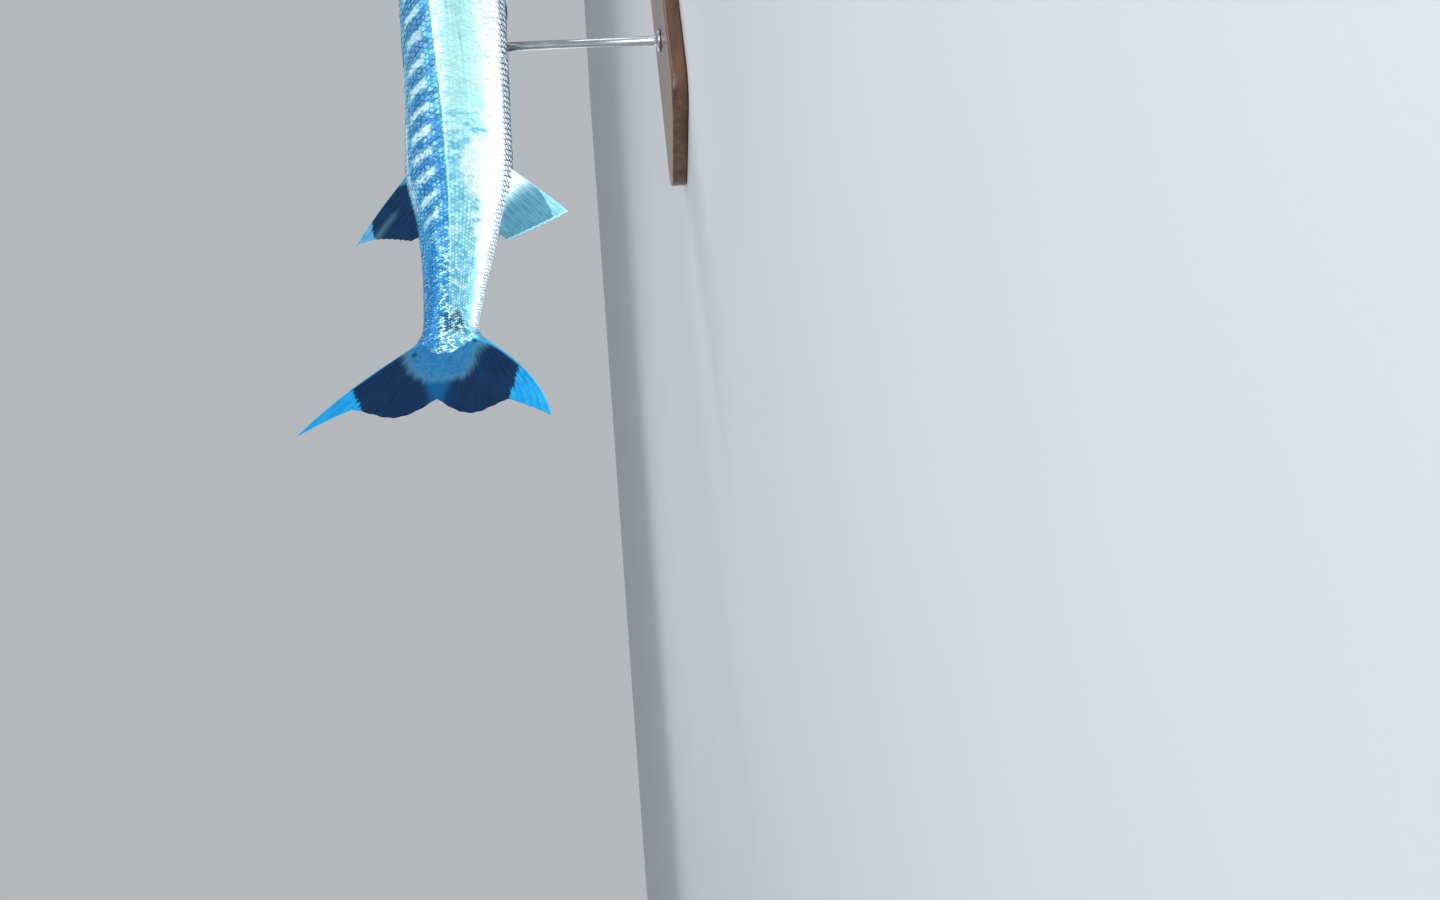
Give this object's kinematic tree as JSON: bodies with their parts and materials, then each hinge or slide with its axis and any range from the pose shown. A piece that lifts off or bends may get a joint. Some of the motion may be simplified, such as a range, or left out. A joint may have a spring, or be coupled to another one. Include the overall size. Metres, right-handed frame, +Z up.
{
  "type": "great barracuda display model",
  "caption": "Life-size great barracuda, swimming level with a slight sweep of the tail, held over a flat base by slim rods.",
  "frame": {"origin": "on the floor, at the centre of the box round the whole model", "axes": "+X towards the snout, +Z up, the fish's right flank towards -Y"},
  "size_m": [1.1669, 0.2, 0.4436],
  "materials": {
    "skin": "wet silvery scales, blue-grey back with oblique bars, white belly",
    "fin_dark": "near-black rayed membrane with pale tips",
    "fin_pale": "translucent pale rayed membrane",
    "eye": "clear polished eye with a silver iris and dark pupil",
    "stand_wood": "dark satin hardwood",
    "stand_steel": "brushed"
  },
  "bodies": {
    "root": {"head": "skin", "lower_jaw": "skin", "gill_cover_left": "skin", "gill_cover_right": "skin", "eye_left": "eye", "eye_right": "eye", "torso_front": "skin", "torso_middle": "skin", "torso_rear": "skin", "tail_stalk": "skin", "first_dorsal_fin": "fin_dark", "second_dorsal_fin": "fin_dark", "anal_fin": "fin_pale", "caudal_fin": "fin_dark", "pectoral_fin_left": "fin_pale", "pectoral_fin_right": "fin_pale", "pelvic_fin_left": "fin_pale", "pelvic_fin_right": "fin_pale", "stand_base": "stand_wood", "stand_rod_front": "stand_steel", "stand_rod_rear": "stand_steel"}
  },
  "joints": []
}
